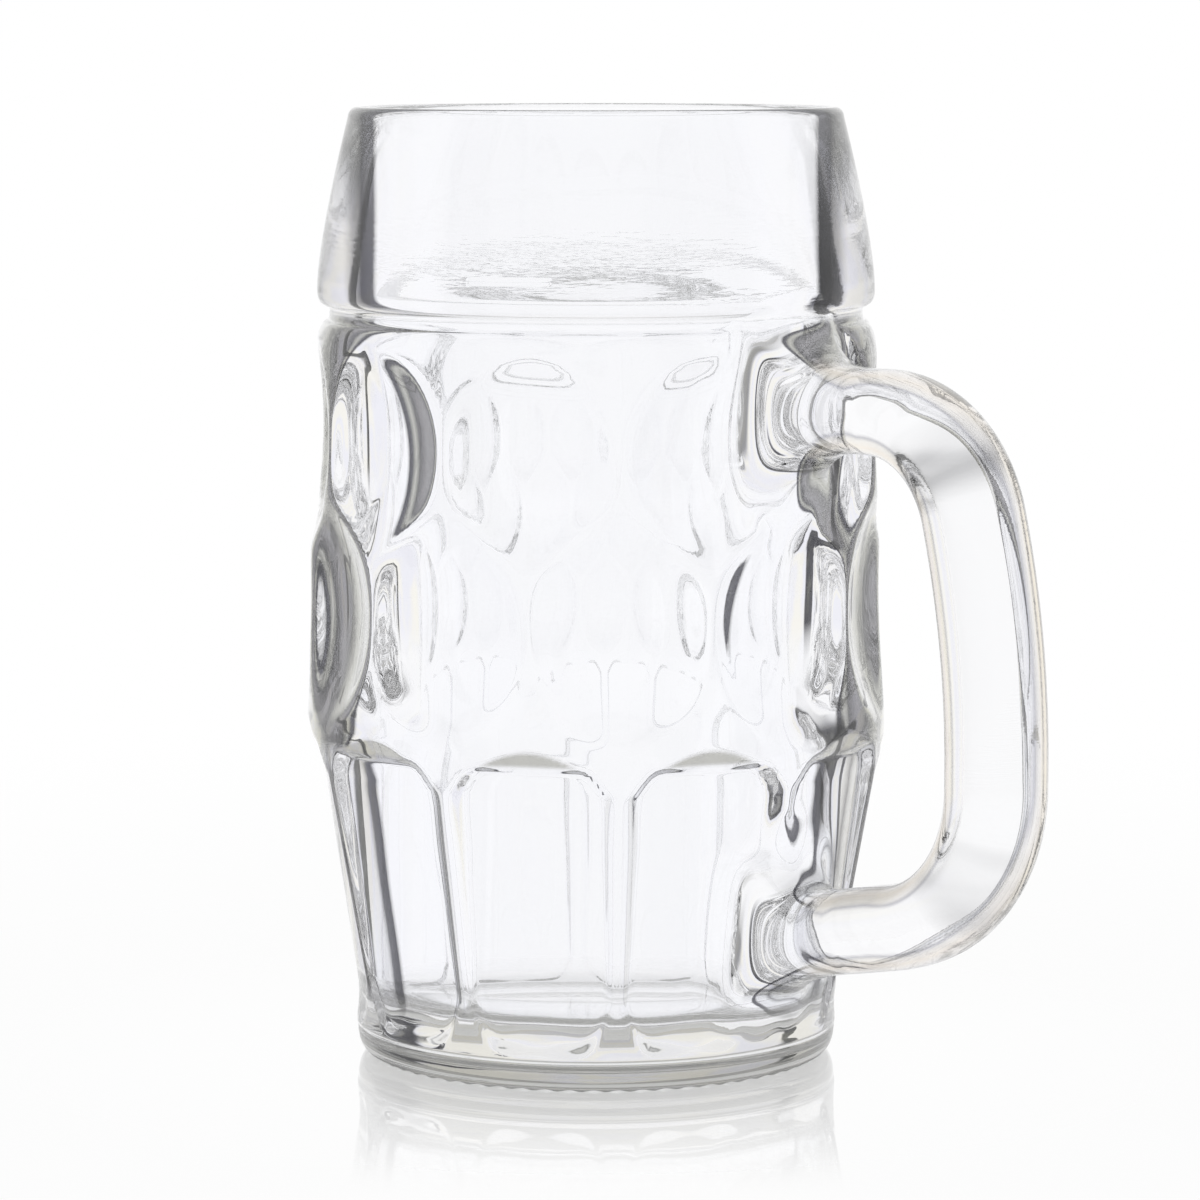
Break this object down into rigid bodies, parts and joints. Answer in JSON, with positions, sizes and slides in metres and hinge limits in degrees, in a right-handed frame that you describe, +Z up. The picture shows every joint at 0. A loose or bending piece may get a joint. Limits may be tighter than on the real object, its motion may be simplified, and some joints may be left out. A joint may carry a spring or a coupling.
{
  "type": "glass beer mug",
  "caption": "Clear glass beer mug with a smooth collar, staggered round dimples, tongue-shaped lower panels and a thick oval bar handle.",
  "frame": {"origin": "on the vessel's axis, on the flat face that the mug stands on", "axes": "+Z up along the vessel's axis towards the rim, +X from the axis towards the handle, +Y to the left of the handle when looking along +X"},
  "size_m": [0.1414, 0.095, 0.155],
  "materials": {
    "clear_glass": "fire-polished, clear and colourless, with a faint cool tint in thick places"
  },
  "bodies": {
    "root": {"vessel": "clear_glass", "handle": "clear_glass"}
  },
  "joints": []
}
